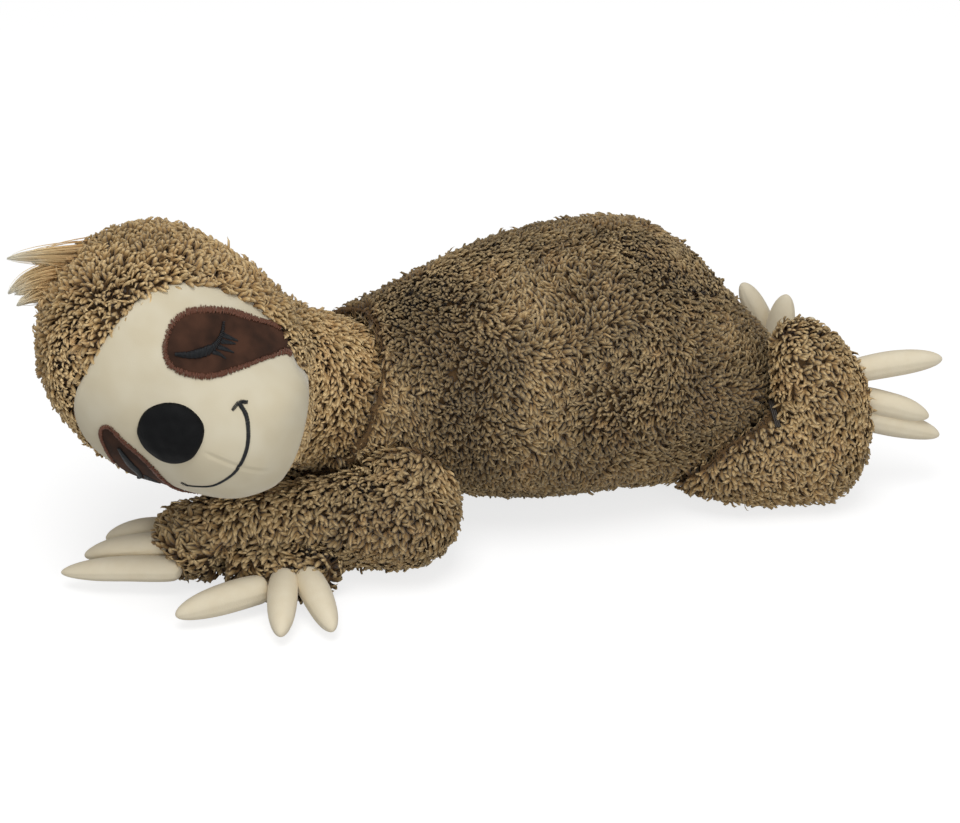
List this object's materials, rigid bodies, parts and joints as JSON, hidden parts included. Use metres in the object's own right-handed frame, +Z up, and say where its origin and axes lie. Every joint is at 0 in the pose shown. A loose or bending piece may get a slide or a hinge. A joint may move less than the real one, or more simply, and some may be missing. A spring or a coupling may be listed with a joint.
{
  "type": "plush sloth",
  "caption": "Stuffed sloth of curly brown plush lying on its belly with its head turned and resting on its folded arms, with hinged neck, limbs and rows of claws.",
  "frame": {"origin": "middle of the resting side of the bounding box", "axes": "+X from the head toward the feet, +Y toward the sloth's right side, +Z up"},
  "size_m": [0.4886, 0.2172, 0.1844],
  "materials": {
    "plush": "curly pile, matt",
    "stuffing": "loose white fibre",
    "velboa": "short nap, matt",
    "claw_cloth": "short nap, matt",
    "patch_cloth": "short nap, matt",
    "black_thread": "twisted embroidery thread",
    "nose_satin": "satin",
    "tuft_hair": "long straight pile",
    "tack_thread": "twisted sewing thread"
  },
  "bodies": {
    "torso": {"torso_back_panel": "plush", "torso_belly_panel": "plush", "torso_stuffing": "stuffing"},
    "head": {"head_hood": "plush", "head_stuffing": "stuffing", "face_panel": "velboa", "nose": "nose_satin", "mouth_stitching": "black_thread", "hair_tuft": "tuft_hair", "left_eye_patch": "patch_cloth", "left_eyelid_stitching": "black_thread", "right_eye_patch": "patch_cloth", "right_eyelid_stitching": "black_thread"},
    "left_arm": {"left_arm_sleeve": "plush", "left_arm_stuffing": "stuffing"},
    "right_arm": {"right_arm_sleeve": "plush", "right_arm_stuffing": "stuffing"},
    "left_leg": {"left_leg_sleeve": "plush", "left_leg_stuffing": "stuffing", "left_leg_tack_stitch": "tack_thread"},
    "right_leg": {"right_leg_sleeve": "plush", "right_leg_stuffing": "stuffing"},
    "left_hand_claws": {"left_hand_claw_1": "claw_cloth", "left_hand_claw_2": "claw_cloth", "left_hand_claw_3": "claw_cloth"},
    "right_hand_claws": {"right_hand_claw_1": "claw_cloth", "right_hand_claw_2": "claw_cloth", "right_hand_claw_3": "claw_cloth"},
    "left_foot_claws": {"left_foot_claw_1": "claw_cloth", "left_foot_claw_2": "claw_cloth", "left_foot_claw_3": "claw_cloth"},
    "right_foot_claws": {"right_foot_claw_1": "claw_cloth", "right_foot_claw_2": "claw_cloth", "right_foot_claw_3": "claw_cloth"}
  },
  "joints": [
    {"name": "neck_hinge", "type": "hinge", "parent": "torso", "child": "head", "pos_m": [-0.07184, 0.01287, 0.071], "axis": [0, 1, 0], "range_deg": [0, 10]},
    {"name": "left_shoulder_hinge", "type": "hinge", "parent": "torso", "child": "left_arm", "pos_m": [-0.04184, -0.01413, 0.058], "axis": [0, 0, 1], "range_deg": [0, 4]},
    {"name": "right_shoulder_hinge", "type": "hinge", "parent": "torso", "child": "right_arm", "pos_m": [-0.04184, 0.03987, 0.058], "axis": [0, 0, -1], "range_deg": [0, 3]},
    {"name": "left_hip_hinge", "type": "hinge", "parent": "torso", "child": "left_leg", "pos_m": [0.13016, -0.02913, 0.032], "axis": [0, -1, 0], "range_deg": [0, 12]},
    {"name": "right_hip_hinge", "type": "hinge", "parent": "torso", "child": "right_leg", "pos_m": [0.13016, 0.07087, 0.032], "axis": [0, -1, 0], "range_deg": [0, 12]},
    {"name": "left_hand_claws_hinge", "type": "hinge", "parent": "left_arm", "child": "left_hand_claws", "pos_m": [-0.17409, -0.02735, 0.01798], "axis": [0, 0.9171, 0.3987], "range_deg": [0, 14], "stiffness_Nm_per_rad": 0.05},
    {"name": "right_hand_claws_hinge", "type": "hinge", "parent": "right_arm", "child": "right_hand_claws", "pos_m": [-0.11779, -0.07143, 0.0135], "axis": [-0.9949, 0.1005, 0], "range_deg": [0, 14], "stiffness_Nm_per_rad": 0.05},
    {"name": "left_foot_claws_hinge", "type": "hinge", "parent": "left_leg", "child": "left_foot_claws", "pos_m": [0.19896, -0.04032, 0.05896], "axis": [0, 0, -1], "range_deg": [-10, 10], "stiffness_Nm_per_rad": 0.05},
    {"name": "right_foot_claws_hinge", "type": "hinge", "parent": "right_leg", "child": "right_foot_claws", "pos_m": [0.1911, 0.06293, 0.03392], "axis": [-0.3011, 0.9536, 0], "range_deg": [-10, 10], "stiffness_Nm_per_rad": 0.05}
  ]
}
